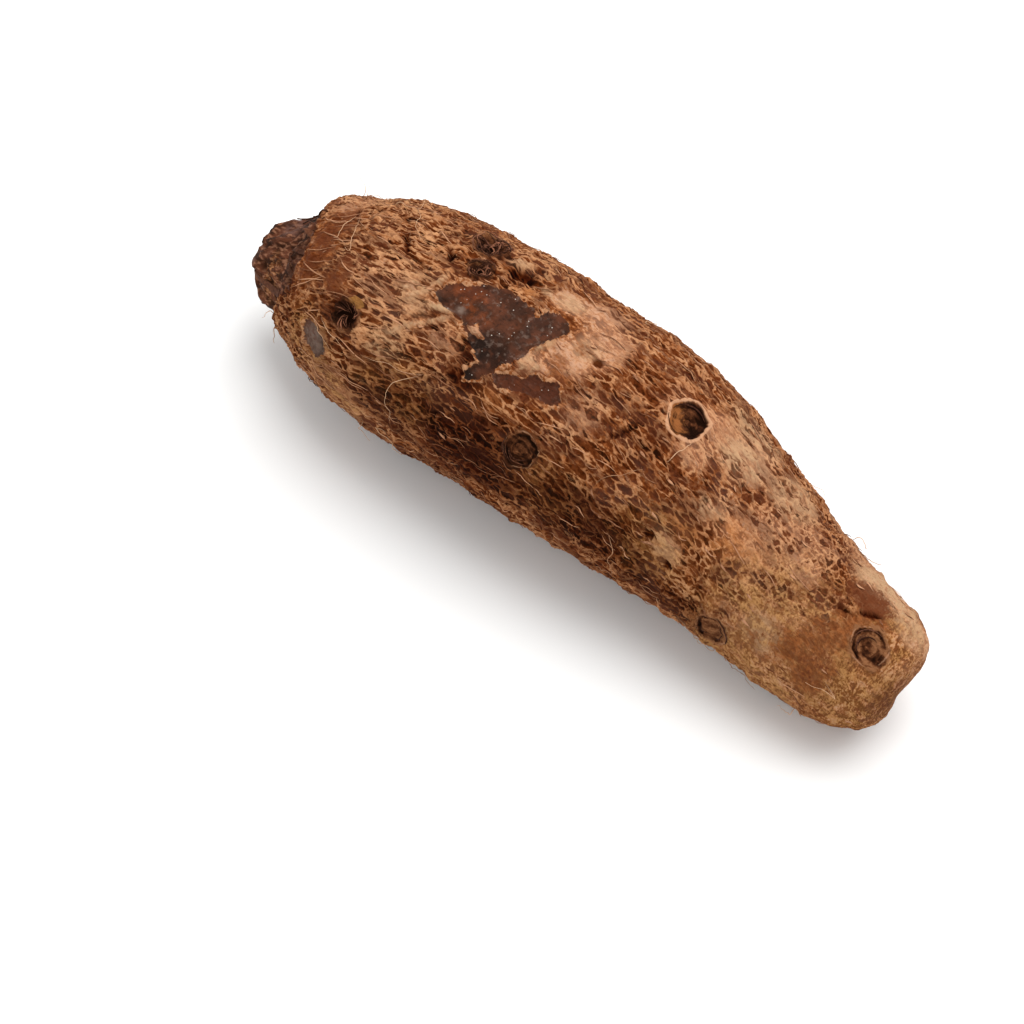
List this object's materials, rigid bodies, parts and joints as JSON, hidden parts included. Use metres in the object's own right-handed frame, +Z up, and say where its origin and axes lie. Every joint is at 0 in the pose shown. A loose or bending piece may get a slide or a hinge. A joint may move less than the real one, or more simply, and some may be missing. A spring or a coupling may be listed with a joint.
{
  "type": "malanga",
  "caption": "Whole malanga corm lying on its side: brown netted skin, round eyes, a worn bare patch, a dark stub of the leaf stalk and a blunt thin end",
  "frame": {"origin": "middle of the underside of the bounding box, on the surface the corm lies on", "axes": "+Z up, +X along the corm from the stalk end to the thin end, +Y sideways; the pictured side faces -Y and up"},
  "size_m": [0.245, 0.0744, 0.0692],
  "materials": {
    "skin": "rough, netted and fibrous"
  },
  "bodies": {
    "root": {"malanga": "skin"}
  },
  "joints": []
}
